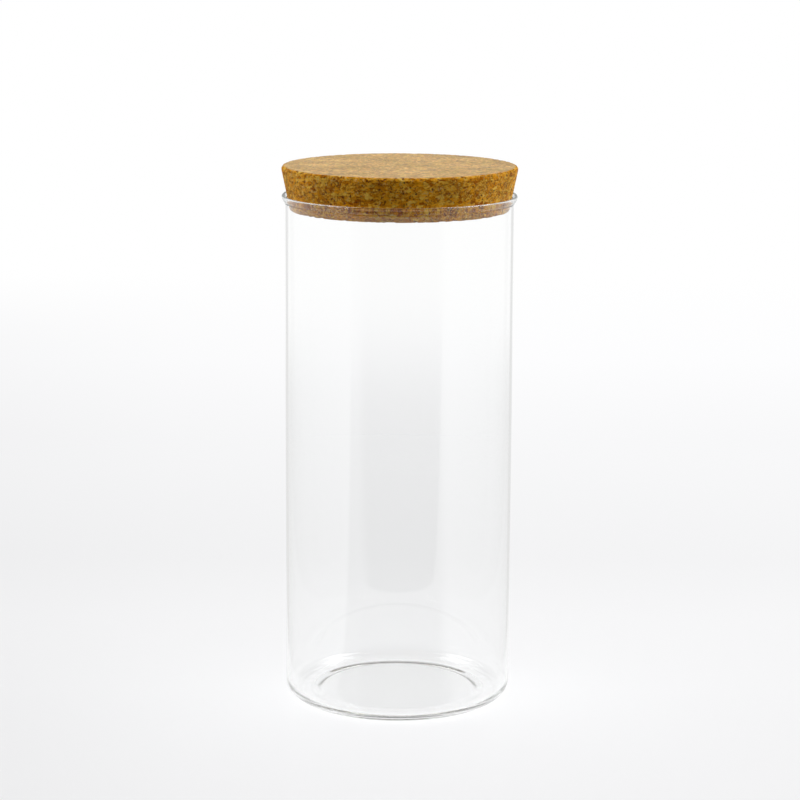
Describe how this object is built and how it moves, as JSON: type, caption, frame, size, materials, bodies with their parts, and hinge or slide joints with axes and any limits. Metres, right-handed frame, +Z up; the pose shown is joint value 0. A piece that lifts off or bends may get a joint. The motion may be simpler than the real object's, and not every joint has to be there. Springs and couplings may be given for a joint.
{
  "type": "glass storage jar with cork lid",
  "caption": "Tall straight storage jar of clear glass with a rounded foot, a pushed-up base and a lip that stands out, closed by a tapered cork lid that lifts off.",
  "frame": {"origin": "on the jar's axis, in the plane that it stands on", "axes": "+Z up along the jar's axis; the object is round, so X and Y are free"},
  "size_m": [0.1038, 0.1038, 0.2377],
  "materials": {
    "clear_glass": "gloss",
    "pressed_cork": "matte"
  },
  "bodies": {
    "jar": {"glass_jar": "clear_glass"},
    "lid": {"cork_lid": "pressed_cork"}
  },
  "joints": [
    {"name": "lid_lift", "type": "slide", "parent": "jar", "child": "lid", "axis": [0, 0, 1], "range_m": [0, 0.06]}
  ]
}
